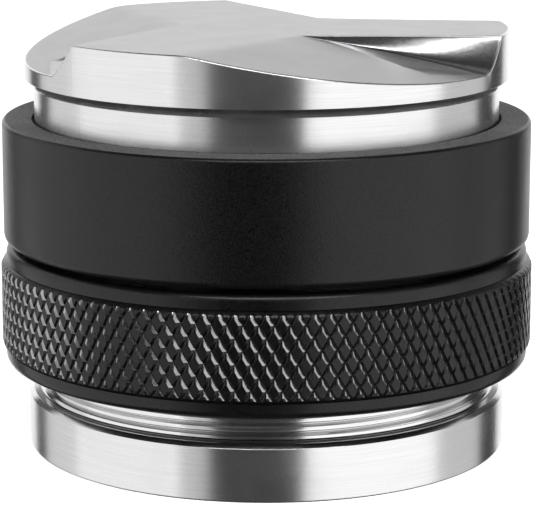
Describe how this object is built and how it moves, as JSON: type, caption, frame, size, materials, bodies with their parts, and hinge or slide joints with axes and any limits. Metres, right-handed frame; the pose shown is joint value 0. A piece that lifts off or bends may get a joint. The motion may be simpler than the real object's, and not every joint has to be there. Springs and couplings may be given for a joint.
{
  "type": "espresso tamper",
  "caption": "Dual-head coffee distributor and tamper with a smooth depth sleeve, a knurled depth ring and a bladed top.",
  "frame": {"origin": "centre of the tamping face, which is the lowest plane of the part", "axes": "+Z is the common axis of both heads, pointing from the tamping face to the distributor blades; -Y is the side seen in the reference view"},
  "size_m": [0.0648, 0.0648, 0.0509],
  "materials": {
    "brushed_stainless": "brushed around the axis",
    "satin_stainless": "satin top, brushed wall",
    "plain_aluminium": "turned",
    "zinc_steel": "zinc plated",
    "black_sleeve": "bead-blasted black anodised",
    "black_knurl": "black anodised, diamond knurl",
    "black_rubber": "matt"
  },
  "bodies": {
    "core": {"tamper_base": "brushed_stainless", "distributor_head": "satin_stainless", "centre_disc": "plain_aluminium", "centre_stud": "zinc_steel", "lower_lock_washer": "zinc_steel", "upper_lock_washer": "zinc_steel"},
    "upper_seal": {"upper_friction_ring": "black_rubber"},
    "sleeve": {"depth_sleeve": "black_sleeve"},
    "lower_seal": {"lower_friction_ring": "black_rubber"},
    "ring": {"depth_ring": "black_knurl"}
  },
  "joints": [
    {"name": "sleeve_travel", "type": "slide", "parent": "core", "child": "upper_seal", "axis": [0, 0, 1], "range_m": [0, 0.0035]},
    {"name": "sleeve_turn", "type": "hinge", "parent": "upper_seal", "child": "sleeve", "pos_m": [0, 0, 0.0327], "axis": [0, 0, 1], "range_deg": [0, 1260]},
    {"name": "ring_travel", "type": "slide", "parent": "core", "child": "lower_seal", "axis": [0, 0, 1], "range_m": [-0.0033, 0]},
    {"name": "ring_turn", "type": "hinge", "parent": "lower_seal", "child": "ring", "pos_m": [0, 0, 0.0177], "axis": [0, 0, 1], "range_deg": [-1188, 0]}
  ],
  "couplings": [
    {"joint": "sleeve_travel", "follows": "sleeve_turn", "m_per_rad": 0.00015915},
    {"joint": "ring_travel", "follows": "ring_turn", "m_per_rad": 0.00015915}
  ]
}
